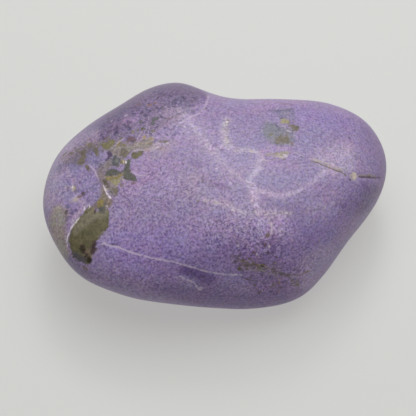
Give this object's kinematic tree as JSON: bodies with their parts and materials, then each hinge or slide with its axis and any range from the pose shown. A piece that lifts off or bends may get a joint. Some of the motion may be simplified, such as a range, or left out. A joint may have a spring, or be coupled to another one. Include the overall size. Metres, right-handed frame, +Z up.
{
  "type": "stichtite tumbled stone",
  "caption": "Tumbled stichtite stone: a flattened, rounded pebble of lilac mineral with an olive serpentine patch and fine veins, lying on a small flat foot.",
  "frame": {"origin": "middle of the bottom of the stone's box, at the level of the flat foot it rests on", "axes": "+X along the stone's longest extent, +Y towards its back, +Z up out of its upper face"},
  "size_m": [0.0348, 0.025, 0.0145],
  "materials": {
    "stichtite": "tumble-polished, satin, lilac and purple felt of fine fibres with olive serpentine, ochre and pale veins"
  },
  "bodies": {
    "root": {"stone": "stichtite"}
  },
  "joints": []
}
